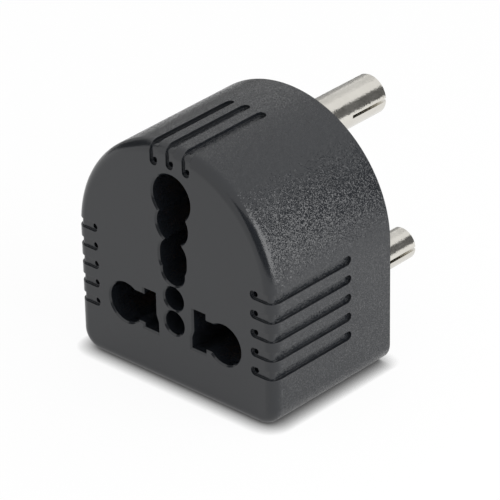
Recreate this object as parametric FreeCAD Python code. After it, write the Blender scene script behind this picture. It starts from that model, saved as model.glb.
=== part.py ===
import FreeCAD, Part
import math
import os

from FreeCAD import Vector

# Socket adapter with three split round pins, in millimetres.
# X runs to the right seen from the socket face, Y runs from the face to the pins, Z is up.
# The origin is the centre of the whole length and width, on the flat bottom.

# Cutters run this far past the surfaces that they cut
overcut = 1.0

# Moulded body
body_width = 52.6
body_height = 54.2
body_depth = 35.0
side_draft = 0.5
lower_corner_radius = 4.5
front_edge_radius = 2.3
least_inner_radius = 0.4
wall = 2.2
face_thickness = 2.5
wall_overlap = 0.2

# Grip grooves, which start on the face, turn with the rounded front edge and run back along the
# wall. A small blind hole is sunk in the round end of each groove on the face.
groove_width = 2.0
groove_wall_depth = 0.75
groove_face_depth = 0.5
groove_turn_depth = 0.35
groove_hole_radius = 0.6
groove_hole_depth = 1.6
side_groove_count = 5
side_groove_pitch = 4.26
side_groove_lowest = 12.1
side_groove_face_run = 5.9
side_groove_back_run = 23.1
top_groove_count = 3
top_groove_pitch = 4.26
top_groove_face_run = 5.0
top_groove_back_run = 23.1

# Long opening for the earth pins of several plug types: four lobes, in line with the earth pin.
# It stops a web above the upper well, and the shares place two lobes along its own length.
earth_pin_below_top = 11.325
earth_large_radius = 5.0
earth_middle_radius = 4.15
earth_small_radius = 3.58
earth_small_stretch = 1.3
earth_lowest_radius = 3.0
earth_middle_share = 0.369
earth_small_share = 0.77
earth_web = 0.52

# Live and neutral openings: a round hole outboard, a neck and an upright blade slot inboard
round_hole_offset = 13.2
round_hole_height = 14.8
round_hole_radius = 4.4
neck_height = 15.15
neck_size = 6.5
blade_slot_inner = 5.1
blade_slot_outer = 8.25
blade_slot_bottom = 10.9
blade_slot_top = 19.8
blade_foot_inner = 4.5
blade_foot_height = 2.3
blade_foot_slope = 1.6

# Two blind wells for a centre earth pin
well_radius = 2.55
well_lower_height = 14.85
well_upper_height = 20.35
well_depth = 20.0
well_end_wall = 1.2

# Tunnels and lead-in of the openings
tunnel_depth = 10.5
tunnel_wall = 1.2
lead_in = 0.35

# Rear cover
cover_thickness = 2.5
cover_lip = 1.1
cover_clearance = 0.1
skirt_thickness = 1.2
skirt_clearance = 0.15
seat_rim = 1.5
seat_clearance = 0.1

# Split pins of the plug. The body height puts the earth pin 28.575 above the other two.
pin_spacing = 25.4
pin_row_height = 14.3
earth_pin_radius = 4.35
earth_pin_length = 25.8
power_pin_radius = 3.53
power_pin_length = 21.1
pin_tip_chamfer = 0.5
pin_slot_width = 0.7
pin_slot_length = 11.0
pin_collar_step = 0.4
pin_hole_clearance = 0.05
relief_width = 0.4
relief_depth = 0.3
flange_overhang = 1.55
flange_thickness = 1.5
flange_flat_depth = 0.9

# Contacts, bent from strip
contact_strip = 0.8
blade_strip = 0.6
bend_radius = 0.6
jaw_tip_gap = 0.8
jaw_lead_length = 4.0
jaw_root_length = 4.0
jaw_half_height = 5.0
jaw_grip_half = 2.3
jaw_tip_half = 4.1
jaw_inner_edge = 8.7
jaw_outer_edge = 17.3
jaw_ear = 1.6
blade_root_half = 1.55
blade_grip_half = 0.8
blade_tip_half = 1.35
blade_jaw_size = 7.0
earth_root_half = 6.0
earth_large_grip = 4.2
earth_middle_grip = 3.0
earth_small_grip = 1.9
earth_tip_flare = 1.4
earth_finger_slot = 0.8
earth_ear = 1.6

# Steel clips over the jaws
clip_strip = 0.5
clip_width = 3.0
clip_set_back = 9.0
clip_clearance = 0.05
clip_slope_room = 0.1
clip_end_inset = 0.5

# Insulating carrier
carrier_thickness = 2.0
carrier_clearance = 0.3
window_clearance = 0.5
barrier_rib = 1.2
barrier_height = 22.9

# Contact screws and split washers
contact_screw_radius = 1.5
contact_screw_length = 7.0
contact_head_radius = 2.75
contact_head_height = 2.0
head_edge_bevel = 0.6
washer_thickness = 0.6
washer_inner_radius = 1.6
washer_outer_radius = 2.7
washer_gap = 0.6

# Cover screws
cover_screw_offset = 18.5
cover_screw_height = 30.5
cover_screw_radius = 1.45
cover_screw_length = 12.0
cover_head_radius = 2.6
cover_head_height = 1.9
counterbore_clearance = 0.4
counterbore_depth = 2.6
screw_hole_clearance = 0.15
thread_clearance = 0.05
collar_length = 2.5
collar_wall = 2.0
pillar_radius = 3.2
pilot_extra_depth = 1.5
cross_recess_length = 3.0
cross_recess_width = 0.7
cross_recess_depth = 1.1

# Places along Y that follow from the sizes
half_width = body_width / 2
arch_height = body_height - half_width
draft_slope = math.tan(math.radians(side_draft))
face_y = -(body_depth + earth_pin_length) / 2
rear_y = face_y + body_depth
cover_inner_y = rear_y - cover_thickness
flange_front_y = cover_inner_y - flange_thickness
strap_front_y = flange_front_y - contact_strip
carrier_front_y = strap_front_y - carrier_thickness
face_inner_y = face_y + face_thickness
tunnel_end_y = face_y + tunnel_depth
jaw_tip_y = tunnel_end_y + jaw_tip_gap
jaw_grip_y = jaw_tip_y + jaw_lead_length
jaw_root_y = strap_front_y - jaw_root_length
pillar_end_y = cover_inner_y - collar_length
clip_back_y = jaw_tip_y + clip_set_back + clip_width
power_pin_x = pin_spacing / 2
past_face = face_y - overcut

# Heights that follow from the sizes
earth_pin_height = body_height - earth_pin_below_top
earth_lowest_height = well_upper_height + well_radius + earth_web + earth_lowest_radius
earth_span = earth_pin_height - earth_lowest_height
earth_middle_height = earth_pin_height - earth_middle_share * earth_span
earth_small_top = earth_pin_height - earth_small_share * earth_span
earth_small_bottom = earth_small_top - earth_small_stretch


def placed_box(x0, x1, y0, y1, z0, z1):
    return Part.makeBox(x1 - x0, y1 - y0, z1 - z0, Vector(x0, y0, z0))


def rod(radius, x, z, y0, y1):
    return Part.makeCylinder(radius, y1 - y0, Vector(x, y0, z), Vector(0, 1, 0))


def fused(shapes):
    return shapes[0].multiFuse(shapes[1:]).removeSplitter()


def mirrored(shape):
    return shape.mirror(Vector(0, 0, 0), Vector(1, 0, 0))


def extruded_outline(wire, y0, y1):
    """Solid between y0 and y1 from a closed outline drawn at y = 0."""
    solid = Part.Face(wire).extrude(Vector(0, y1 - y0, 0))
    solid.translate(Vector(0, y0, 0))
    return solid


# Body form: a semicircular arch on straight sides, with rounded lower corners and drafted walls
def body_block(y0, y1, inset):
    front_half = half_width + (y0 - face_y) * draft_slope - inset
    back_half = half_width + (y1 - face_y) * draft_slope - inset
    corner = max(lower_corner_radius - inset, least_inner_radius)
    corners = [
        Vector(-front_half, y0, inset),
        Vector(front_half, y0, inset),
        Vector(back_half, y1, inset),
        Vector(-back_half, y1, inset),
    ]
    floor = Part.Face(Part.makePolygon(corners + corners[:1]))
    base = floor.extrude(Vector(0, 0, arch_height - inset))
    lower_sides = [
        e for e in base.Edges
        if e.BoundBox.ZMax < inset + 0.001 and e.BoundBox.YLength > (y1 - y0) / 2
    ]
    base = base.makeFillet(corner, lower_sides)
    reach = max(front_half, back_half) + overcut
    start = Vector(0, y0, arch_height)
    dome = Part.makeCone(front_half, back_half, y1 - y0, start, Vector(0, 1, 0))
    upper = placed_box(-reach, reach, y0 - overcut, y1 + overcut, arch_height, arch_height + reach)
    return base.fuse(dome.common(upper)).removeSplitter()


def rounded_body_block(y0, y1, inset, edge_radius):
    block = body_block(y0, y1, inset)
    front = [e for e in block.Edges if e.BoundBox.YMax < y0 + 0.001]
    return block.makeFillet(edge_radius, front)


# Strip parts are drawn as a centre line in two coordinates and given their thickness
def offset_points(points, distance):
    moved = []
    for i, (u, v) in enumerate(points):
        before = points[max(i - 1, 0)]
        after = points[min(i + 1, len(points) - 1)]
        first = Vector(u - before[0], v - before[1], 0)
        second = Vector(after[0] - u, after[1] - v, 0)
        if i == 0:
            first = second
        if i == len(points) - 1:
            second = first
        first.normalize()
        second.normalize()
        normal_1 = Vector(-first.y, first.x, 0)
        normal_2 = Vector(-second.y, second.x, 0)
        mitre = normal_1 + normal_2
        mitre = mitre * (2 * distance / mitre.dot(mitre))
        moved.append((u + mitre.x, v + mitre.y))
    return moved


def strip_wire(points, thickness, to_space):
    """Closed outline of a strip whose bends are rounded inside and out."""
    left = offset_points(points, thickness / 2)
    right = offset_points(points, -thickness / 2)
    corners = [(p, None) for p in left[:1]]
    for i in range(1, len(points) - 1):
        turn = bend_direction(points[i - 1], points[i], points[i + 1])
        corners.append((left[i], bend_radius if turn > 0 else bend_radius + thickness))
    corners += [(left[-1], None), (right[-1], None)]
    for i in range(len(points) - 2, 0, -1):
        turn = bend_direction(points[i - 1], points[i], points[i + 1])
        corners.append((right[i], bend_radius + thickness if turn > 0 else bend_radius))
    corners.append((right[0], None))
    return rounded_wire(corners, to_space)


def bend_direction(before, point, after):
    first = (point[0] - before[0], point[1] - before[1])
    second = (after[0] - point[0], after[1] - point[1])
    return first[0] * second[1] - first[1] * second[0]


def rounded_wire(corners, to_space):
    """Closed wire through corners given as ((u, v), radius or None)."""
    edges = []
    count = len(corners)
    ends = []
    for i, ((u, v), radius) in enumerate(corners):
        here = Vector(u, v, 0)
        before = Vector(*corners[i - 1][0], 0) - here
        after = Vector(*corners[(i + 1) % count][0], 0) - here
        if radius is None:
            ends.append((here, None, here))
            continue
        before.normalize()
        after.normalize()
        half_angle = before.getAngle(after) / 2
        reach = radius / math.tan(half_angle)
        middle = before + after
        middle.normalize()
        centre_distance = radius / math.sin(half_angle)
        on_arc = here + middle * (centre_distance - radius)
        ends.append((here + before * reach, on_arc, here + after * reach))
    for i, (start, on_arc, finish) in enumerate(ends):
        if on_arc is not None:
            edges.append(Part.Arc(to_space(start), to_space(on_arc), to_space(finish)).toShape())
        following = ends[(i + 1) % count][0]
        edges.append(Part.LineSegment(to_space(finish), to_space(following)).toShape())
    return Part.Wire(edges)


def strip_across_x(points, thickness, x0, x1):
    """Strip drawn in Y and Z, as wide as x0 to x1."""
    wire = strip_wire(points, thickness, lambda p: Vector(x0, p.x, p.y))
    return Part.Face(wire).extrude(Vector(x1 - x0, 0, 0))


def strip_across_z(points, thickness, z0, z1):
    """Strip drawn in X and Y, as wide as z0 to z1."""
    wire = strip_wire(points, thickness, lambda p: Vector(p.x, p.y, z0))
    return Part.Face(wire).extrude(Vector(0, 0, z1 - z0))


def strip_across_y(points, thickness, y0, y1):
    """Strip drawn in X and Z, as wide as y0 to y1."""
    wire = strip_wire(points, thickness, lambda p: Vector(p.x, y0, p.y))
    return Part.Face(wire).extrude(Vector(0, y1 - y0, 0))


# Openings of the socket face, each grown by a margin where its tunnel wall is wanted
def flat_outline(points):
    vectors = [Vector(x, 0, z) for x, z in points]
    return Part.makePolygon(vectors + vectors[:1])


def earth_opening(margin, y0, y1):
    small = earth_small_radius + margin
    return fused([
        rod(earth_large_radius + margin, 0, earth_pin_height, y0, y1),
        rod(earth_middle_radius + margin, 0, earth_middle_height, y0, y1),
        rod(small, 0, earth_small_top, y0, y1),
        rod(small, 0, earth_small_bottom, y0, y1),
        placed_box(-small, small, y0, y1, earth_small_bottom, earth_small_top),
        rod(earth_lowest_radius + margin, 0, earth_lowest_height, y0, y1),
    ])


def blade_slot_points(margin):
    foot_top = blade_slot_bottom + blade_foot_height
    return [
        (blade_foot_inner - margin, blade_slot_bottom - margin),
        (blade_slot_outer + margin, blade_slot_bottom - margin),
        (blade_slot_outer + margin, blade_slot_top + margin),
        (blade_slot_inner - margin, blade_slot_top + margin),
        (blade_slot_inner - margin, foot_top + blade_foot_slope + margin),
        (blade_foot_inner - margin, foot_top + margin),
    ]


def power_opening(margin, y0, y1):
    low = neck_height - neck_size / 2 - margin
    high = neck_height + neck_size / 2 + margin
    return fused([
        rod(round_hole_radius + margin, round_hole_offset, round_hole_height, y0, y1),
        placed_box(blade_slot_inner, round_hole_offset, y0, y1, low, high),
        extruded_outline(flat_outline(blade_slot_points(margin)), y0, y1),
    ])


def well_heights():
    return (well_lower_height, well_upper_height)


def wells(margin, y0, y1):
    return [rod(well_radius + margin, 0, z, y0, y1) for z in well_heights()]


def cone_lead_in(radius, x, z):
    return Part.makeCone(radius + lead_in, radius, lead_in, Vector(x, face_y, z), Vector(0, 1, 0))


def slot_lead_in(points_at):
    outer = flat_outline(points_at(lead_in))
    inner = flat_outline(points_at(0))
    outer.translate(Vector(0, face_y, 0))
    inner.translate(Vector(0, face_y + lead_in, 0))
    return Part.makeLoft([outer, inner], True, True)


def neck_points(margin):
    half = neck_size / 2 + margin
    return [
        (blade_slot_inner, neck_height - half),
        (round_hole_offset, neck_height - half),
        (round_hole_offset, neck_height + half),
        (blade_slot_inner, neck_height + half),
    ]


def earth_neck_points(margin):
    half = earth_small_radius + margin
    return [
        (-half, earth_small_bottom),
        (half, earth_small_bottom),
        (half, earth_small_top),
        (-half, earth_small_top),
    ]


def opening_lead_ins():
    """Small bevels where the openings and wells meet the face."""
    power = [
        cone_lead_in(round_hole_radius, round_hole_offset, round_hole_height),
        slot_lead_in(neck_points),
        slot_lead_in(blade_slot_points),
    ]
    earth = [
        cone_lead_in(earth_large_radius, 0, earth_pin_height),
        cone_lead_in(earth_middle_radius, 0, earth_middle_height),
        cone_lead_in(earth_small_radius, 0, earth_small_top),
        cone_lead_in(earth_small_radius, 0, earth_small_bottom),
        cone_lead_in(earth_lowest_radius, 0, earth_lowest_height),
        slot_lead_in(earth_neck_points),
    ]
    wells_in = [cone_lead_in(well_radius, 0, z) for z in well_heights()]
    return power + [mirrored(shape) for shape in power] + earth + wells_in


# Grip grooves: square channels with round ends, cut down to a core that lies inside the body.
# Each comes with the blind hole in its end on the face.
def groove_hole(x, z):
    return rod(groove_hole_radius, x, z, past_face, face_y + groove_hole_depth)


def side_groove(z):
    half = groove_width / 2
    tip_x = half_width - side_groove_face_run + half
    end_y = face_y + side_groove_back_run - half
    far_x = half_width + 2 * overcut
    channel = placed_box(tip_x, far_x, past_face, end_y, z - half, z + half)
    tip = rod(half, tip_x, z, past_face, face_y + groove_face_depth)
    end = Part.makeCylinder(half, far_x - tip_x, Vector(tip_x, end_y, z), Vector(1, 0, 0))
    return fused([channel, tip, end]), groove_hole(tip_x, z)


def top_groove(x):
    half = groove_width / 2
    tip_z = arch_height + math.sqrt(half_width ** 2 - x ** 2) - top_groove_face_run + half
    end_y = face_y + top_groove_back_run - half
    far_z = body_height + 2 * overcut
    channel = placed_box(x - half, x + half, past_face, end_y, tip_z, far_z)
    tip = rod(half, x, tip_z, past_face, face_y + groove_face_depth)
    end = Part.makeCylinder(half, far_z - tip_z, Vector(x, end_y, tip_z), Vector(0, 0, 1))
    return fused([channel, tip, end]), groove_hole(x, tip_z)


def grip_grooves():
    sharp_depth = (groove_face_depth + groove_wall_depth) / math.sqrt(2)
    turn_radius = front_edge_radius - (sharp_depth - groove_turn_depth) / (math.sqrt(2) - 1)
    turn_radius = max(turn_radius, least_inner_radius)
    core = rounded_body_block(face_y + groove_face_depth, rear_y, groove_wall_depth, turn_radius)
    cutters = []
    for i in range(side_groove_count):
        channel, hole = side_groove(side_groove_lowest + i * side_groove_pitch)
        right = fused([channel.cut(core), hole])
        cutters += [right, mirrored(right)]
    for i in range(top_groove_count):
        channel, hole = top_groove((i - (top_groove_count - 1) / 2) * top_groove_pitch)
        cutters.append(fused([channel.cut(core), hole]))
    return cutters


def screw_places():
    return [(side * cover_screw_offset, cover_screw_height) for side in (1, -1)]


# Inside of the cup: tunnels, wells, screw pillars and the ribs that part the three poles
def inner_walls():
    well_y = face_y + well_depth + well_end_wall
    power = power_opening(tunnel_wall, face_y, tunnel_end_y)
    shapes = [earth_opening(tunnel_wall, face_y, tunnel_end_y), power, mirrored(power)]
    shapes += wells(tunnel_wall, face_y, well_y)
    rib = barrier_rib / 2
    for x, z in screw_places():
        shapes.append(rod(pillar_radius, x, z, face_y, pillar_end_y))
        reach = x + math.copysign(half_width, x)
        low_x = min(x, reach)
        high_x = max(x, reach)
        shapes.append(placed_box(low_x, high_x, face_y, carrier_front_y, z - rib, z + rib))
    shapes.append(placed_box(-rib, rib, face_y, carrier_front_y, 0, well_lower_height))
    low = barrier_height - rib
    high = barrier_height + rib
    shapes.append(placed_box(-half_width, half_width, face_y, carrier_front_y, low, high))
    return shapes


def front_housing():
    outside = rounded_body_block(face_y, rear_y, 0, front_edge_radius)
    cup = outside.cut(body_block(face_inner_y, rear_y + overcut, wall))
    cup = cup.cut(body_block(cover_inner_y, rear_y + overcut, cover_lip))
    envelope = body_block(face_inner_y - wall_overlap, cover_inner_y, wall - wall_overlap)
    walls = fused([shape.common(envelope) for shape in inner_walls()])
    cup = cup.fuse(walls).removeSplitter()
    past_tunnel = tunnel_end_y + overcut
    power = power_opening(0, past_face, past_tunnel)
    cuts = [earth_opening(0, past_face, past_tunnel), power, mirrored(power)]
    cuts += wells(0, past_face, face_y + well_depth)
    cuts += opening_lead_ins()
    cuts += grip_grooves()
    pilot_radius = cover_screw_radius + thread_clearance
    pilot_end_y = pillar_end_y - cover_screw_length + screw_grip() - pilot_extra_depth
    for x, z in screw_places():
        cuts.append(rod(pilot_radius, x, z, pilot_end_y, pillar_end_y + overcut))
    return cup.cut(cuts)


def screw_grip():
    """Thickness of cover and collar under a cover screw's head."""
    return cover_thickness + collar_length - counterbore_depth


# Plate that closes the cup, with a seat for each pin flange and a collar for each screw
def pin_places():
    return [
        ("earth", 0, earth_pin_height, earth_pin_radius, earth_pin_length),
        ("live", power_pin_x, pin_row_height, power_pin_radius, power_pin_length),
        ("neutral", -power_pin_x, pin_row_height, power_pin_radius, power_pin_length),
    ]


def flange_block(x, z, radius, margin, y0, y1):
    """Round flange with a flat above and below, which stops the pin from turning."""
    reach = radius + flange_overhang + margin
    flat = reach - flange_flat_depth
    disc = rod(reach, x, z, y0, y1)
    return disc.common(placed_box(x - reach, x + reach, y0, y1, z - flat, z + flat))


def rear_cover():
    cover_inset = cover_lip + cover_clearance
    skirt_outer = wall + skirt_clearance
    plate = body_block(cover_inner_y, rear_y, cover_inset)
    skirt = body_block(strap_front_y, cover_inner_y, skirt_outer)
    skirt_inner = skirt_outer + skirt_thickness
    skirt = skirt.cut(body_block(strap_front_y - overcut, cover_inner_y + overcut, skirt_inner))
    solids = [plate, skirt]
    cuts = []
    past_rear = rear_y + overcut
    for name, x, z, radius, length in pin_places():
        seat = radius + flange_overhang + seat_rim
        solids.append(rod(seat, x, z, flange_front_y, cover_inner_y))
        hole = radius + pin_collar_step + pin_hole_clearance
        cuts.append(rod(hole, x, z, cover_inner_y - overcut, past_rear))
        cuts.append(flange_block(x, z, radius, seat_clearance, flange_front_y - overcut, cover_inner_y))
    hole = cover_screw_radius + screw_hole_clearance
    counterbore = cover_head_radius + counterbore_clearance
    for x, z in screw_places():
        solids.append(rod(hole + collar_wall, x, z, pillar_end_y, cover_inner_y))
        cuts.append(rod(hole, x, z, pillar_end_y - overcut, past_rear))
        cuts.append(rod(counterbore, x, z, rear_y - counterbore_depth, past_rear))
    return fused(solids).cut(cuts)


# Turned brass pin, slotted from the tip so that it springs, with a flange and a tapped hole.
# A collar fills the hole in the cover, and the turning tool leaves a narrow relief above it.
def plug_pin(x, z, radius, length):
    tip_y = rear_y + length
    body = rod(radius, x, z, rear_y, tip_y)
    tip = [e for e in body.Edges if e.BoundBox.YMin > tip_y - 0.001]
    body = body.makeChamfer(pin_tip_chamfer, tip)
    collar = rod(radius + pin_collar_step, x, z, cover_inner_y, rear_y)
    flange = flange_block(x, z, radius, 0, flange_front_y, cover_inner_y)
    pin = fused([body, collar, flange])
    relief = rod(radius + overcut, x, z, rear_y, rear_y + relief_width)
    relief = relief.cut(rod(radius - relief_depth, x, z, rear_y, rear_y + relief_width))
    side = radius + overcut
    slot_y = tip_y - pin_slot_length
    low = z - pin_slot_width / 2
    high = z + pin_slot_width / 2
    slot = placed_box(x - side, x + side, slot_y, tip_y + overcut, low, high)
    hole_end = flange_front_y + contact_screw_length
    tapped = rod(contact_screw_radius + thread_clearance, x, z, flange_front_y - overcut, hole_end)
    return pin.cut([relief, slot, tapped])


# Hole in the straps for the screw that clamps them on a pin flange
def clamp_hole(x, z):
    radius = contact_screw_radius + screw_hole_clearance
    return rod(radius, x, z, strap_front_y - blade_strip - overcut, flange_front_y + overcut)


# Folded strip jaws behind the round holes: a base on the pin flange and two leaves
def leaf_half_at(y):
    """Half height of a jaw's centre line where the leaf slopes from its root to its grip."""
    share = (jaw_root_y - y) / (jaw_root_y - jaw_grip_y)
    return jaw_half_height + (jaw_grip_half - jaw_half_height) * share


def power_contact():
    base_y = flange_front_y - contact_strip / 2
    centre = round_hole_height
    leaf = [
        (jaw_tip_y, centre + jaw_tip_half),
        (jaw_grip_y, centre + jaw_grip_half),
        (jaw_root_y, centre + jaw_half_height),
        (base_y, centre + jaw_half_height),
    ]
    lower = [(y, 2 * centre - z) for y, z in reversed(leaf)]
    jaws = strip_across_x(leaf + lower, contact_strip, jaw_inner_edge, jaw_outer_edge)
    base_half = jaw_half_height - bend_radius - contact_strip
    far_x = jaw_outer_edge + jaw_ear
    low = centre - base_half
    high = centre + base_half
    ear = placed_box(jaw_inner_edge, far_x, strap_front_y, flange_front_y, low, high)
    contact = fused([jaws, ear])
    return contact.cut(clamp_hole(power_pin_x, pin_row_height))


def blade_contact():
    """Narrow jaws for a flat blade, on a tab that the contact screw clamps."""
    tab_y = strap_front_y - blade_strip / 2
    middle = (blade_slot_inner + blade_slot_outer) / 2
    tab_end = power_pin_x + washer_outer_radius
    low = round_hole_height - blade_jaw_size / 2
    high = low + blade_jaw_size
    leaves = []
    for side in (-1, 1):
        path = [
            (tab_end, tab_y),
            (middle + side * blade_root_half, tab_y),
            (middle + side * blade_root_half, jaw_root_y),
            (middle + side * blade_grip_half, jaw_grip_y),
            (middle + side * blade_tip_half, jaw_tip_y),
        ]
        leaves.append(strip_across_z(path, blade_strip, low, high))
    return fused(leaves).cut(clamp_hole(power_pin_x, pin_row_height))


def earth_finger_ranges():
    """Height range and grip of each pair of fingers, from the bottom up."""
    low = earth_lowest_height - earth_lowest_radius + contact_strip
    cut_1 = (earth_small_top + earth_middle_height) / 2
    cut_2 = (earth_middle_height + earth_pin_height) / 2
    high = earth_pin_height + earth_large_radius - contact_strip
    half = earth_finger_slot / 2
    return [
        (low, cut_1 - half, earth_small_grip),
        (cut_1 + half, cut_2 - half, earth_middle_grip),
        (cut_2 + half, high, earth_large_grip),
    ]


def earth_contact():
    base_y = flange_front_y - contact_strip / 2
    ranges = earth_finger_ranges()
    low = ranges[0][0]
    high = ranges[-1][1]
    shapes = []
    for z0, z1, grip in ranges:
        leaf = [
            (grip + earth_tip_flare, jaw_tip_y),
            (grip, jaw_grip_y),
            (earth_root_half, jaw_root_y),
            (earth_root_half, base_y),
        ]
        opposite = [(-x, y) for x, y in reversed(leaf)]
        shapes.append(strip_across_z(leaf + opposite, contact_strip, z0, z1))
    root = [(earth_root_half, jaw_root_y), (earth_root_half, base_y)]
    root += [(-x, y) for x, y in reversed(root)]
    shapes.append(strip_across_z(root, contact_strip, low, high))
    base_half = earth_root_half - bend_radius - contact_strip
    bottom = low - earth_ear
    top = high + earth_ear
    shapes.append(placed_box(-base_half, base_half, strap_front_y, flange_front_y, bottom, top))
    return fused(shapes).cut(clamp_hole(0, earth_pin_height))


# Steel clips that close round the jaws from outside
def clip_stand_off():
    """From the middle of a sloping leaf to the middle of the clip over it."""
    return (contact_strip + clip_strip) / 2 + clip_clearance + clip_slope_room


def power_spring_clip():
    reach = leaf_half_at(clip_back_y) + clip_stand_off()
    end_x = jaw_inner_edge + clip_end_inset
    back_x = jaw_outer_edge + clip_clearance + clip_strip / 2
    path = [
        (end_x, round_hole_height + reach),
        (back_x, round_hole_height + reach),
        (back_x, round_hole_height - reach),
        (end_x, round_hole_height - reach),
    ]
    return strip_across_y(path, clip_strip, clip_back_y - clip_width, clip_back_y)


def earth_spring_clip():
    ranges = earth_finger_ranges()
    share = (jaw_root_y - clip_back_y) / (jaw_root_y - jaw_grip_y)
    half = earth_root_half + (earth_large_grip - earth_root_half) * share
    reach = half + clip_stand_off()
    top = ranges[-1][1] + clip_clearance + clip_strip / 2
    bottom = ranges[1][0]
    path = [(reach, bottom), (reach, top), (-reach, top), (-reach, bottom)]
    return strip_across_y(path, clip_strip, clip_back_y - clip_width, clip_back_y)


# Insulating frame between the ribs of the housing and the contacts, open round the jaws
def contact_carrier():
    plate = body_block(carrier_front_y, strap_front_y, wall + carrier_clearance)
    front = carrier_front_y - overcut
    back = strap_front_y + overcut
    jaw_half = jaw_half_height + contact_strip / 2 + window_clearance
    inner_x = blade_slot_inner - window_clearance
    outer_x = jaw_outer_edge + window_clearance
    low = round_hole_height - jaw_half
    high = round_hole_height + jaw_half
    power = placed_box(inner_x, outer_x, front, back, low, high)
    ranges = earth_finger_ranges()
    earth_half = earth_root_half + contact_strip / 2 + window_clearance
    low = ranges[0][0] - window_clearance
    high = ranges[-1][1] + window_clearance
    earth = placed_box(-earth_half, earth_half, front, back, low, high)
    cuts = [power, mirrored(power), earth]
    notch = pillar_radius + carrier_clearance
    for x, z in screw_places():
        cuts.append(rod(notch, x, z, front, back))
        reach = x + math.copysign(half_width, x)
        cuts.append(placed_box(min(x, reach), max(x, reach), front, back, z - notch, z + notch))
    return plate.cut(cuts)


# Pan head screws with a cross recess
def pan_screw(x, z, head_y, direction, shank_radius, shank_length, head_radius, head_height):
    """Screw whose head rests at head_y and whose shank points along direction (1 or -1) in Y."""
    start = Vector(x, head_y, z)
    shank = Part.makeCylinder(shank_radius, shank_length, start, Vector(0, direction, 0))
    head = Part.makeCylinder(head_radius, head_height, start, Vector(0, -direction, 0))
    top_y = head_y - direction * head_height
    rim = [e for e in head.Edges if abs(e.CenterOfMass.y - top_y) < 0.001]
    head = head.makeChamfer(head_edge_bevel, rim)
    screw = fused([shank, head])
    low = min(top_y, top_y + direction * cross_recess_depth)
    high = low + cross_recess_depth
    long_half = cross_recess_length / 2
    short_half = cross_recess_width / 2
    bars = [
        placed_box(x - long_half, x + long_half, low, high, z - short_half, z + short_half),
        placed_box(x - short_half, x + short_half, low, high, z - long_half, z + long_half),
    ]
    return screw.cut(bars)


def contact_stack_y(name):
    """Front of the straps that a contact screw clamps."""
    return strap_front_y if name == "earth" else strap_front_y - blade_strip


def contact_screws():
    screws = []
    for name, x, z, radius, length in pin_places():
        head_y = contact_stack_y(name) - washer_thickness
        screws.append(pan_screw(x, z, head_y, 1, contact_screw_radius, contact_screw_length,
                                contact_head_radius, contact_head_height))
    return Part.makeCompound(screws)


def spring_washers():
    washers = []
    for name, x, z, radius, length in pin_places():
        back_y = contact_stack_y(name)
        front_y = back_y - washer_thickness
        ring = rod(washer_outer_radius, x, z, front_y, back_y)
        far_x = x + washer_outer_radius + overcut
        low = z - washer_gap / 2
        gap = placed_box(x, far_x, front_y, back_y, low, low + washer_gap)
        washers.append(ring.cut([rod(washer_inner_radius, x, z, front_y, back_y), gap]))
    return Part.makeCompound(washers)


def cover_screws():
    head_y = rear_y - counterbore_depth
    screws = []
    for x, z in screw_places():
        screws.append(pan_screw(x, z, head_y, -1, cover_screw_radius, cover_screw_length,
                                cover_head_radius, cover_head_height))
    return Part.makeCompound(screws)


def build():
    pieces = {
        "front_housing": front_housing(),
        "rear_cover": rear_cover(),
        "contact_carrier": contact_carrier(),
        "earth_contact": earth_contact(),
        "live_contact": power_contact(),
        "live_blade_contact": blade_contact(),
        "earth_spring_clip": earth_spring_clip(),
        "live_spring_clip": power_spring_clip(),
        "contact_screws": contact_screws(),
        "spring_washers": spring_washers(),
        "cover_screws": cover_screws(),
    }
    for kind in ("contact", "blade_contact", "spring_clip"):
        pieces["neutral_" + kind] = mirrored(pieces["live_" + kind])
    for name, x, z, radius, length in pin_places():
        pieces[name + "_pin"] = plug_pin(x, z, radius, length)
    return pieces


os.makedirs("parts", exist_ok=True)
for node, shape in sorted(build().items()):
    shape.exportStep(f"parts/{node}.step")
    print(f"{node}: {len(shape.Solids)} solids, valid {shape.isValid()}, volume {shape.Volume:.1f}")
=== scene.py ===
import math

import bpy
from mathutils import Matrix, Vector


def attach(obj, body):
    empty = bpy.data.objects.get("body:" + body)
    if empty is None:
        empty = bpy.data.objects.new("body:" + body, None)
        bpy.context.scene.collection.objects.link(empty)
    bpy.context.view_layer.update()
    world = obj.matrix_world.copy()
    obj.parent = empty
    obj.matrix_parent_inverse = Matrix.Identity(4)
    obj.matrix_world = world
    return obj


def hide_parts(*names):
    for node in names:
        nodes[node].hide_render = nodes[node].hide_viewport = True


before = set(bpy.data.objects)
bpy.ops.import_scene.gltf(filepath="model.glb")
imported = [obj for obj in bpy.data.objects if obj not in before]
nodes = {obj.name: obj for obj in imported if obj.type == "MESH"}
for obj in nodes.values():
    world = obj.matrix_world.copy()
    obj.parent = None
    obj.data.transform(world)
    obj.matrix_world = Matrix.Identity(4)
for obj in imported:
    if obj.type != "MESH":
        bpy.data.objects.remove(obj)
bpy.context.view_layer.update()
scene = bpy.context.scene

# Viewpoint. The adapter stands on its flat bottom and is seen from ahead, from its right and from
# above, through a long lens from about 70 cm, so its edges run nearly parallel.
AZIMUTH = math.radians(42.279)
ELEVATION = math.radians(28.808)
ROLL = math.radians(-1.061)
AIM = Vector((0.0, -0.0124, 0.025))
DISTANCE = 0.69777
SIDESTEP = 0.003231
DROP = -0.000936
LENS = 250.64
SENSOR = 36.0

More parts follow.
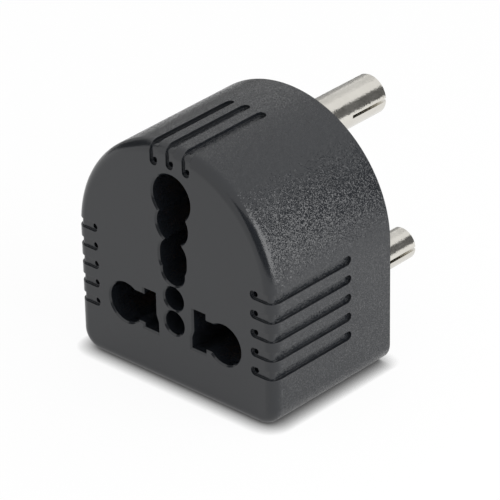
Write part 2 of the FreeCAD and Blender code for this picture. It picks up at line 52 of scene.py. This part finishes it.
back = Vector((
    math.sin(AZIMUTH) * math.cos(ELEVATION),
    -math.cos(AZIMUTH) * math.cos(ELEVATION),
    math.sin(ELEVATION),
))
level = Vector((math.cos(AZIMUTH), math.sin(AZIMUTH), 0.0))
upright = back.cross(level)
right = math.cos(ROLL) * level + math.sin(ROLL) * upright
up = math.cos(ROLL) * upright - math.sin(ROLL) * level
camera_data = bpy.data.cameras.new("camera")
camera_data.lens = LENS
camera_data.sensor_width = SENSOR
camera_data.clip_start = 0.05
camera_data.clip_end = 20.0
camera = bpy.data.objects.new("camera", camera_data)
scene.collection.objects.link(camera)
place = AIM + DISTANCE * back + SIDESTEP * right + DROP * up
camera.matrix_world = Matrix.Translation(place) @ Matrix((right, up, back)).transposed().to_4x4()
scene.camera = camera
scene.view_settings.view_transform = "Standard"


# Studio. A sheet of matt white paper lies in an evenly lit white room. The paper shows white, with
# the soft shadow that gathers where the adapter touches it.
def linear(code):
    """Linear colour, with alpha, from an sRGB hex code."""
    parts = [int(code[i:i + 2], 16) / 255 for i in (1, 3, 5)]
    parts = [c / 12.92 if c <= 0.04045 else ((c + 0.055) / 1.055) ** 2.4 for c in parts]
    return (*parts, 1.0)


def add(tree, kind, settings=None, links=None):
    """Adds a node. Settings are its own properties. Links are what its inputs get: values, sockets,
    or nodes, of which the first output is taken."""
    made = tree.nodes.new(kind)
    for name, value in (settings or {}).items():
        setattr(made, name, value)
    for name, value in (links or {}).items():
        if isinstance(value, bpy.types.Node):
            value = value.outputs[0]
        if isinstance(value, bpy.types.NodeSocket):
            tree.links.new(value, made.inputs[name])
        else:
            made.inputs[name].default_value = value
    return made


def new_material(name):
    """An empty node material, with its tree and the input that its surface goes to."""
    material = bpy.data.materials.new(name)
    material.use_nodes = True
    tree = material.node_tree
    tree.nodes.clear()
    return material, tree, tree.nodes.new("ShaderNodeOutputMaterial").inputs["Surface"]


def seen_directly(tree):
    """1 for rays from the camera, from a mirror or through glass, else 0."""
    path = add(tree, "ShaderNodeLightPath").outputs
    mirror = add(tree, "ShaderNodeMath", {"operation": "MAXIMUM"},
                 {0: path["Is Camera Ray"], 1: path["Is Glossy Ray"]})
    return add(tree, "ShaderNodeMath", {"operation": "MAXIMUM"},
               {0: mirror, 1: path["Is Transmission Ray"]})


def rectangle(name, corners, material):
    """A flat stage piece with four corners."""
    mesh = bpy.data.meshes.new(name)
    mesh.from_pydata(corners, [], [(0, 1, 2, 3)])
    mesh.materials.append(material)
    piece = bpy.data.objects.new(name, mesh)
    scene.collection.objects.link(piece)
    return piece


PAPER_HALF = 3.0
PAPER_WHITE = "#f4f4f4"
LIT_SHARE = 0.07  # of the paper's own lit colour in what the camera sees; the rest is plain white
MIRRORED_LIT_SHARE = 0.5
CONTACT_REACH = 0.0034
CONTACT_POWER = 1.5
MIRRORED_CONTACT = 0.6  # how much of the contact shadow the plastic's lower edges mirror
paper, tree, surface = new_material("matt_white_paper")
lit = add(tree, "ShaderNodeBsdfDiffuse", None, {"Color": linear(PAPER_WHITE)})
contact = add(tree, "ShaderNodeAmbientOcclusion", {"samples": 8}, {"Distance": CONTACT_REACH})
shade = add(tree, "ShaderNodeMath", {"operation": "POWER"},
            {0: contact.outputs["AO"], 1: CONTACT_POWER})
camera_ray = add(tree, "ShaderNodeLightPath").outputs["Is Camera Ray"]
depth = add(tree, "ShaderNodeMapRange", None, {0: camera_ray, 3: MIRRORED_CONTACT, 4: 1.0})
shade = add(tree, "ShaderNodeMix", None, {"Factor": depth, 2: 1.0, 3: shade})
plain = add(tree, "ShaderNodeEmission", None, {"Color": (1, 1, 1, 1), "Strength": shade})
share = add(tree, "ShaderNodeMapRange", None,
            {0: camera_ray, 3: 1.0 - MIRRORED_LIT_SHARE, 4: 1.0 - LIT_SHARE})
share = add(tree, "ShaderNodeMath", {"operation": "MULTIPLY"}, {0: seen_directly(tree), 1: share})
mixed = add(tree, "ShaderNodeMixShader", None, {0: share, 1: lit, 2: plain})
tree.links.new(mixed.outputs[0], surface)
rectangle("table", [(-PAPER_HALF, -PAPER_HALF, 0), (PAPER_HALF, -PAPER_HALF, 0),
                    (PAPER_HALF, PAPER_HALF, 0), (-PAPER_HALF, PAPER_HALF, 0)], paper)

ROOM_LIGHT = 0.9
world = bpy.data.worlds.new("white_room")
scene.world = world
world.use_nodes = True
tree = world.node_tree
tree.nodes.clear()
output = tree.nodes.new("ShaderNodeOutputWorld")
soft = add(tree, "ShaderNodeBackground", None, {"Color": (1, 1, 1, 1), "Strength": ROOM_LIGHT})
white = add(tree, "ShaderNodeBackground", None, {"Color": (1, 1, 1, 1), "Strength": 1.0})
mixed = add(tree, "ShaderNodeMixShader", None, {0: seen_directly(tree), 1: soft, 2: white})
tree.links.new(mixed.outputs[0], output.inputs["Surface"])

# Cards. Upright grey boards of matt card round the adapter, which give the pins and the rounded
# edges their darker bands. Only reflections see them. Each has its colour, its distance from the
# middle, its bearing from there (degrees from the rear towards the right), its width, and the
# heights of its foot and head.
for name, code, distance, bearing, width, foot, head in (
    ("dark_card_behind", "#6a6a6a", 0.157, 44.5, 0.106, 0.024, 0.131),
    ("grey_card_behind", "#b4b4b4", 0.6, -70.0, 0.66, 0.0, 0.36),
    ("pale_card_behind", "#ececec", 0.6, -24.0, 0.4, 0.33, 0.7),
    ("dark_card_in_front", "#6a6a6a", 0.17, 140.5, 0.165, 0.012, 0.14),
    ("dark_card_left", "#5c5c5c", 0.4, -105.0, 0.32, 0.07, 0.3),
    ("low_card_behind", "#606060", 0.22, -52.0, 0.17, 0.0, 0.03),
):
    card, tree, surface = new_material(name)
    matt = add(tree, "ShaderNodeBsdfDiffuse", None, {"Color": linear(code)})
    tree.links.new(matt.outputs[0], surface)
    outward = Vector((math.sin(math.radians(bearing)), math.cos(math.radians(bearing)), 0.0))
    sideways = 0.5 * width * Vector((outward.y, -outward.x, 0.0))
    corners = [tuple(distance * outward + side * sideways + Vector((0, 0, height)))
               for side, height in ((-1, foot), (1, foot), (1, head), (-1, head))]
    board = rectangle(name, corners, card)
    board.visible_camera = False
    board.visible_diffuse = False
    board.visible_shadow = False

# Soft box. One lamp with a square white front stands to the right. It lights the rounded edges and
# makes the grain glitter.
BOX_SPOT = Vector((0.25, 0.03, 0.142))
BOX_WIDTH = 0.24
BOX_HEIGHT = 0.25
BOX_POWER = 0.56
lamp = bpy.data.lights.new("soft_box", "AREA")
lamp.shape = "RECTANGLE"
lamp.size = BOX_WIDTH
lamp.size_y = BOX_HEIGHT
lamp.energy = BOX_POWER
holder = bpy.data.objects.new("soft_box", lamp)
scene.collection.objects.link(holder)
facing_left = Vector((1.0, 0.0, 0.0)).to_track_quat("Z", "Y").to_matrix().to_4x4()
holder.matrix_world = Matrix.Translation(BOX_SPOT) @ facing_left


# Front housing. A deep cup of black ABS, injection moulded in one piece. The face comes off a satin
# mould and has an even sheen. The walls and the arch come off spark-eroded steel, and their grain
# of 0.16 mm, little facets that lean every way, breaks a highlight into sparkle.
def give(material, *names):
    """Puts one material on CAD nodes."""
    for name in names:
        mesh = nodes[name].data
        mesh.materials.clear()
        mesh.materials.append(material)


def faceted(tree, where, size, lean, normal):
    """The normal, leaning at random from one facet of that size to the next."""
    facets = add(tree, "ShaderNodeTexVoronoi", {"feature": "F1"},
                 {"Vector": where, "Scale": 1 / size})
    way = add(tree, "ShaderNodeVectorMath", {"operation": "SUBTRACT"},
              {0: facets.outputs["Color"], 1: (0.5, 0.5, 0.5)})
    way = add(tree, "ShaderNodeVectorMath", {"operation": "SCALE"}, {0: way, "Scale": lean})
    leant = add(tree, "ShaderNodeVectorMath", {"operation": "ADD"}, {0: normal, 1: way})
    return add(tree, "ShaderNodeVectorMath", {"operation": "NORMALIZE"}, {0: leant})


FACE_Y = -0.0304
GRAIN = 0.00016
GRAIN_TILT = 0.39
GRAIN_RUN = 0.0014  # the grain grows over this length, behind the place where it begins
SATIN_SHARE = 0.06  # of the grain that is left on a satin surface
EDGE_ROUND = 0.00012
CLOUD = 0.009  # size of the faint clouds in tone and sheen
SHEEN_SPREAD = 0.03
NOISE_LOW = 0.3  # nearly all of a noise lies between these two
NOISE_HIGH = 0.7
PLASTIC_IOR = 1.55


def moulded_plastic(name, dark, pale, grain_from, roughness):
    """Moulded plastic whose grain begins at a place along Y and is full a little behind it."""
    material, tree, surface = new_material(name)
    where = add(tree, "ShaderNodeTexCoord").outputs["Object"]
    along = add(tree, "ShaderNodeSeparateXYZ", None, {0: where}).outputs["Y"]
    lean = add(tree, "ShaderNodeMapRange", {"interpolation_type": "SMOOTHSTEP"},
               {0: along, 1: grain_from, 2: grain_from + GRAIN_RUN,
                3: SATIN_SHARE * GRAIN_TILT, 4: GRAIN_TILT}).outputs[0]
    rounded = add(tree, "ShaderNodeBevel", {"samples": 6}, {"Radius": EDGE_ROUND})
    grained = faceted(tree, where, GRAIN, lean, rounded)
    cloud = add(tree, "ShaderNodeTexNoise", None,
                {"Vector": where, "Scale": 1 / CLOUD, "Detail": 2.0, "Roughness": 0.5})
    tone = add(tree, "ShaderNodeMix", {"data_type": "RGBA"},
               {"Factor": cloud, 6: linear(dark), 7: linear(pale)})
    sheen = add(tree, "ShaderNodeMapRange", None,
                {0: cloud, 1: NOISE_LOW, 2: NOISE_HIGH,
                 3: roughness - SHEEN_SPREAD, 4: roughness + SHEEN_SPREAD})
    plastic = add(tree, "ShaderNodeBsdfPrincipled", None,
                  {"Base Color": tone.outputs[2], "Roughness": sheen, "IOR": PLASTIC_IOR,
                   "Normal": grained})
    tree.links.new(plastic.outputs[0], surface)
    return material


FACE_MARGIN = 0.0007
give(moulded_plastic("moulded_black_abs_grained", dark="#16181c", pale="#1a1d21",
                     grain_from=FACE_Y + FACE_MARGIN, roughness=0.2),
     "front_housing")

# Rear cover. A flat plate of the same ABS, moulded apart and pressed into the back of the cup. It
# carries the pins. All of its outer side has the walls' grain, so it looks even and half matt.
AHEAD_OF_COVER = 0.0
give(moulded_plastic("moulded_black_abs_satin", dark="#16181c", pale="#1a1d21",
                     grain_from=AHEAD_OF_COVER, roughness=0.2),
     "rear_cover")

# Contact carrier. An insulating frame of black PBT, moulded smooth and clamped inside the cup. PBT
# is a deeper black with a duller sheen. Its grain would begin past the part, so it has none.
PAST_THE_PART = 1.0
give(moulded_plastic("moulded_black_pbt", dark="#121314", pale="#161718",
                     grain_from=PAST_THE_PART, roughness=0.3),
     "contact_carrier")


# Plug pins. Turned brass rod, slotted from the tip so that it springs, then nickel plated: a warm
# bright metal with a faint orange peel. It still shows the rings of the turning tool, which are
# drawn 0.18 mm apart, coarser than real ones, so that they show.
WANDER = 900.0  # per metre: waves of 1.1 mm that take the rings off a perfect circle
WANDER_REACH = 3.0
BLOTCH = 350.0  # per metre: blotches of 2.9 mm in tone and polish
POLISH_SPREAD = 0.04


def turned_metal(name, dark, pale, roughness, ring_pitch, ring_height, peel_size, peel_lean):
    """Plated or bare metal with tool rings round Y and the soft unevenness of its skin."""
    material, tree, surface = new_material(name)
    where = add(tree, "ShaderNodeTexCoord").outputs["Object"]
    along = add(tree, "ShaderNodeSeparateXYZ", None, {0: where}).outputs["Y"]
    wander = add(tree, "ShaderNodeTexNoise", None,
                 {"Vector": where, "Scale": WANDER, "Detail": 2.0})
    turns = add(tree, "ShaderNodeMath", {"operation": "MULTIPLY"},
                {0: along, 1: 2 * math.pi / ring_pitch})
    turns = add(tree, "ShaderNodeMath", {"operation": "MULTIPLY_ADD"},
                {0: wander, 1: WANDER_REACH, 2: turns})
    rings = add(tree, "ShaderNodeMath", {"operation": "SINE"}, {0: turns})
    cut = add(tree, "ShaderNodeBump", None,
              {"Strength": 1.0, "Distance": ring_height, "Height": rings})
    peeled = faceted(tree, where, peel_size, peel_lean, cut)
    blotch = add(tree, "ShaderNodeTexNoise", None,
                 {"Vector": where, "Scale": BLOTCH, "Detail": 3.0})
    tone = add(tree, "ShaderNodeMix", {"data_type": "RGBA"},
               {"Factor": blotch, 6: linear(dark), 7: linear(pale)})
    polish = add(tree, "ShaderNodeMapRange", None,
                 {0: blotch, 1: NOISE_LOW, 2: NOISE_HIGH,
                  3: roughness - POLISH_SPREAD, 4: roughness + POLISH_SPREAD})
    metal = add(tree, "ShaderNodeBsdfPrincipled", None,
                {"Base Color": tone.outputs[2], "Metallic": 1.0, "Roughness": polish,
                 "Normal": peeled})
    tree.links.new(metal.outputs[0], surface)
    return material


give(turned_metal("nickel_plated_turned_brass", dark="#cfccc4", pale="#dedbd4", roughness=0.15,
                  ring_pitch=0.00018, ring_height=0.0000015, peel_size=0.00025, peel_lean=0.08),
     "earth_pin", "live_pin", "neutral_pin")

# Contacts. Jaws stamped and folded from rolled brass strip and clamped on the pin flanges. The
# strip is yellow, with a soft shine and the faint lines of the rolls.
ROLLED = {"ring_pitch": 0.0003, "ring_height": 0.000001, "peel_size": 0.00025, "peel_lean": 0.05}
give(turned_metal("rolled_brass_strip", dark="#b58d4c", pale="#c8a15e", roughness=0.32, **ROLLED),
     "earth_contact", "live_contact", "neutral_contact",
     "live_blade_contact", "neutral_blade_contact")

# Spring clips. Bent from blank spring steel strip and pushed over the jaws, which they keep tight.
# The steel is a neutral grey, darker than the zinc of the screws.
give(turned_metal("blank_spring_steel", dark="#8f9296", pale="#a6a9ad", roughness=0.3, **ROLLED),
     "earth_spring_clip", "live_spring_clip", "neutral_spring_clip")

# Spring washers. Split rings of zinc plated steel, one under the head of each contact screw. The
# zinc is a cool pale grey with a dull, cloudy shine.
zinc = turned_metal("zinc_plated_steel", dark="#a9adb2", pale="#c3c6ca", roughness=0.35, **ROLLED)
give(zinc, "spring_washers")

# Screws. The same zinc plated steel, with a domed pan head, a cross recess and a rolled thread. Two
# hold the cover from behind and three clamp the contacts inside. Each stopped at its own angle.
PAN_HEAD = {
    "Head Fall": 0.0006, "Recess Length": 0.003, "Recess Width": 0.0007, "Recess Depth": 0.0011,
}
COVER_SCREW = {
    **PAN_HEAD, "Head Radius": 0.0026, "Head Height": 0.0019, "Shank Radius": 0.00145,
    "Length": 0.012, "Thread Pitch": 0.0011, "Thread Depth": 0.0003, "Turn": -math.pi / 2,
}
CONTACT_SCREW = {
    **PAN_HEAD, "Head Radius": 0.00275, "Head Height": 0.002, "Shank Radius": 0.0015,
    "Length": 0.007, "Thread Pitch": 0.0007, "Thread Depth": 0.0002, "Turn": math.pi / 2,
}
COVER_SCREW_X = 0.0185
COVER_SCREW_Y = 0.002
COVER_SCREW_Z = 0.0305
EARTH_SCREW_SPOT = (0.0, -0.0008, 0.042875)
POWER_SCREW_X = 0.0127
POWER_SCREW_Y = -0.0014
POWER_SCREW_Z = 0.0143
SHANK_SIDES = 24
SHANK_RINGS = 96
HEAD_SIDES = 40
HEAD_RINGS = 7
TIP_SHARE = 0.45  # of the shank's radius that is left at its pointed tip
DOME_POWER = 4.0  # how late the head's top begins to fall towards its rim
WELD = 1e-6  # points nearer than this become one
SHARP_ANGLE = math.radians(32)

# The tree sets one screw on each point, with its shank down, and then turns it about X.
tree = bpy.data.node_groups.new("pan_head_screws", "GeometryNodeTree")
tree.interface.new_socket(name="Places", in_out="INPUT", socket_type="NodeSocketGeometry")
for name in COVER_SCREW:
    tree.interface.new_socket(name=name, in_out="INPUT", socket_type="NodeSocketFloat")
tree.interface.new_socket(name="Seed", in_out="INPUT", socket_type="NodeSocketInt")
tree.interface.new_socket(name="Finish", in_out="INPUT", socket_type="NodeSocketMaterial")
tree.interface.new_socket(name="Screws", in_out="OUTPUT", socket_type="NodeSocketGeometry")
given = tree.nodes.new("NodeGroupInput").outputs
spot = add(tree, "GeometryNodeInputPosition")
across = add(tree, "ShaderNodeSeparateXYZ", None, {0: spot}).outputs
half_head = add(tree, "ShaderNodeMath", {"operation": "MULTIPLY"},
                {0: given["Head Height"], 1: 0.5})

# The shank reaches half way into the head. Its skin falls into the thread by how far each point
# lies from the helix, and it narrows towards its tip.
reach = add(tree, "ShaderNodeMath", {"operation": "ADD"}, {0: given["Length"], 1: half_head})
shank = add(tree, "GeometryNodeMeshCylinder", None,
            {"Vertices": SHANK_SIDES, "Side Segments": SHANK_RINGS,
             "Radius": given["Shank Radius"], "Depth": reach})
middle = add(tree, "ShaderNodeMath", {"operation": "SUBTRACT"}, {0: half_head, 1: given["Length"]})
middle = add(tree, "ShaderNodeMath", {"operation": "MULTIPLY"}, {0: middle, 1: 0.5})
middle = add(tree, "ShaderNodeCombineXYZ", None, {"Z": middle})
shank = add(tree, "GeometryNodeTransform", None, {"Geometry": shank, "Translation": middle})
angle = add(tree, "ShaderNodeMath", {"operation": "ARCTAN2"}, {0: across["Y"], 1: across["X"]})
angle = add(tree, "ShaderNodeMath", {"operation": "DIVIDE"}, {0: angle, 1: 2 * math.pi})
turns = add(tree, "ShaderNodeMath", {"operation": "DIVIDE"},
            {0: across["Z"], 1: given["Thread Pitch"]})
turns = add(tree, "ShaderNodeMath", {"operation": "ADD"}, {0: turns, 1: angle})
groove = add(tree, "ShaderNodeMath", {"operation": "PINGPONG"}, {0: turns, 1: 0.5})
full = add(tree, "ShaderNodeMath", {"operation": "MULTIPLY"}, {0: given["Thread Depth"], 1: 2.0})
groove = add(tree, "ShaderNodeMath", {"operation": "MULTIPLY"}, {0: groove, 1: full})
groove = add(tree, "ShaderNodeMath", {"operation": "DIVIDE"}, {0: groove, 1: given["Shank Radius"]})
girth = add(tree, "ShaderNodeMath", {"operation": "SUBTRACT"}, {0: 1.0, 1: groove})
from_tip = add(tree, "ShaderNodeMath", {"operation": "ADD"}, {0: across["Z"], 1: given["Length"]})
point = add(tree, "ShaderNodeMapRange", None,
            {0: from_tip, 1: 0.0, 2: given["Shank Radius"], 3: TIP_SHARE, 4: 1.0})
girth = add(tree, "ShaderNodeMath", {"operation": "MULTIPLY"}, {0: point, 1: girth})
girth = add(tree, "ShaderNodeCombineXYZ", None, {"X": girth, "Y": girth, "Z": 1.0})
threaded = add(tree, "ShaderNodeVectorMath", {"operation": "MULTIPLY"}, {0: spot, 1: girth})
shank = add(tree, "GeometryNodeSetPosition", None, {"Geometry": shank, "Position": threaded})

# The head's top falls away towards its rim.
head = add(tree, "GeometryNodeMeshCylinder", {"fill_type": "TRIANGLE_FAN"},
           {"Vertices": HEAD_SIDES, "Side Segments": 1, "Fill Segments": HEAD_RINGS,
            "Radius": given["Head Radius"], "Depth": given["Head Height"]})
lift = add(tree, "ShaderNodeCombineXYZ", None, {"Z": half_head})
head = add(tree, "GeometryNodeTransform", None, {"Geometry": head, "Translation": lift})
flat = add(tree, "ShaderNodeCombineXYZ", None, {"X": across["X"], "Y": across["Y"]})
from_axis = add(tree, "ShaderNodeVectorMath", {"operation": "LENGTH"}, {0: flat}).outputs["Value"]
fall = add(tree, "ShaderNodeMath", {"operation": "DIVIDE"}, {0: from_axis, 1: given["Head Radius"]})
fall = add(tree, "ShaderNodeMath", {"operation": "POWER"}, {0: fall, 1: DOME_POWER})
fall = add(tree, "ShaderNodeMath", {"operation": "MULTIPLY"}, {0: fall, 1: given["Head Fall"]})
fall = add(tree, "ShaderNodeMath", {"operation": "MULTIPLY"}, {0: fall, 1: -1.0})
on_top = add(tree, "ShaderNodeMath", {"operation": "GREATER_THAN"}, {0: across["Z"], 1: half_head})
fall = add(tree, "ShaderNodeMath", {"operation": "MULTIPLY"}, {0: fall, 1: on_top})
fall = add(tree, "ShaderNodeCombineXYZ", None, {"Z": fall})
head = add(tree, "GeometryNodeSetPosition", None, {"Geometry": head, "Offset": fall})

# Head and shank are joined, and two crossed bars sink the recess.
whole = add(tree, "GeometryNodeMeshBoolean", {"operation": "UNION", "solver": "EXACT"})
for mesh in (head, shank):
    tree.links.new(mesh.outputs[0], whole.inputs["Mesh 2"])
screw = add(tree, "GeometryNodeMeshBoolean", {"operation": "DIFFERENCE", "solver": "EXACT"},
            {"Mesh 1": whole})
tall = add(tree, "ShaderNodeMath", {"operation": "MULTIPLY"}, {0: given["Recess Depth"], 1: 2.0})
top = add(tree, "ShaderNodeCombineXYZ", None, {"Z": given["Head Height"]})
for long_side, short_side in (("X", "Y"), ("Y", "X")):
    size = add(tree, "ShaderNodeCombineXYZ", None,
               {long_side: given["Recess Length"], short_side: given["Recess Width"], "Z": tall})
    bar = add(tree, "GeometryNodeMeshCube", None, {"Size": size})
    bar = add(tree, "GeometryNodeTransform", None, {"Geometry": bar, "Translation": top})
    tree.links.new(bar.outputs[0], screw.inputs["Mesh 2"])

turned = add(tree, "ShaderNodeCombineXYZ", None, {"X": given["Turn"]})
driven = add(tree, "GeometryNodeInstanceOnPoints", None,
             {"Points": given["Places"], "Instance": screw, "Rotation": turned})
stop = add(tree, "FunctionNodeRandomValue", {"data_type": "FLOAT"},
           {2: 0.0, 3: math.pi / 2, "Seed": given["Seed"]}).outputs[1]
stop = add(tree, "ShaderNodeCombineXYZ", None, {"Z": stop})
driven = add(tree, "GeometryNodeRotateInstances", None,
             {"Instances": driven, "Rotation": stop, "Local Space": True})
real = add(tree, "GeometryNodeRealizeInstances", None, {"Geometry": driven})
real = add(tree, "GeometryNodeMergeByDistance", None, {"Geometry": real, "Distance": WELD})
coated = add(tree, "GeometryNodeSetMaterial", None, {"Geometry": real, "Material": given["Finish"]})
add(tree, "NodeGroupOutput", None, {"Screws": coated})

for name, places, sizes, seed in (
    ("cover_screws",
     [(-COVER_SCREW_X, COVER_SCREW_Y, COVER_SCREW_Z),
      (COVER_SCREW_X, COVER_SCREW_Y, COVER_SCREW_Z)],
     COVER_SCREW, 4),
    ("contact_screws",
     [EARTH_SCREW_SPOT, (POWER_SCREW_X, POWER_SCREW_Y, POWER_SCREW_Z),
      (-POWER_SCREW_X, POWER_SCREW_Y, POWER_SCREW_Z)],
     CONTACT_SCREW, 9),
):
    points = bpy.data.meshes.new(name + "_looks")
    points.from_pydata(places, [], [])
    piece = bpy.data.objects.new(name + "_looks", points)
    scene.collection.objects.link(piece)
    maker = piece.modifiers.new("screws", "NODES")
    maker.node_group = tree
    inputs = {**sizes, "Seed": seed, "Finish": zinc}
    for item in tree.interface.items_tree:
        if item.in_out == "INPUT" and item.name in inputs:
            maker[item.identifier] = inputs[item.name]
    evaluated = piece.evaluated_get(bpy.context.evaluated_depsgraph_get())
    mesh = bpy.data.meshes.new_from_object(evaluated)
    piece.modifiers.clear()
    piece.data = mesh
    mesh.shade_smooth()
    mesh.set_sharp_from_angle(angle=SHARP_ANGLE)
    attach(piece, "root")
    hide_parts(name)
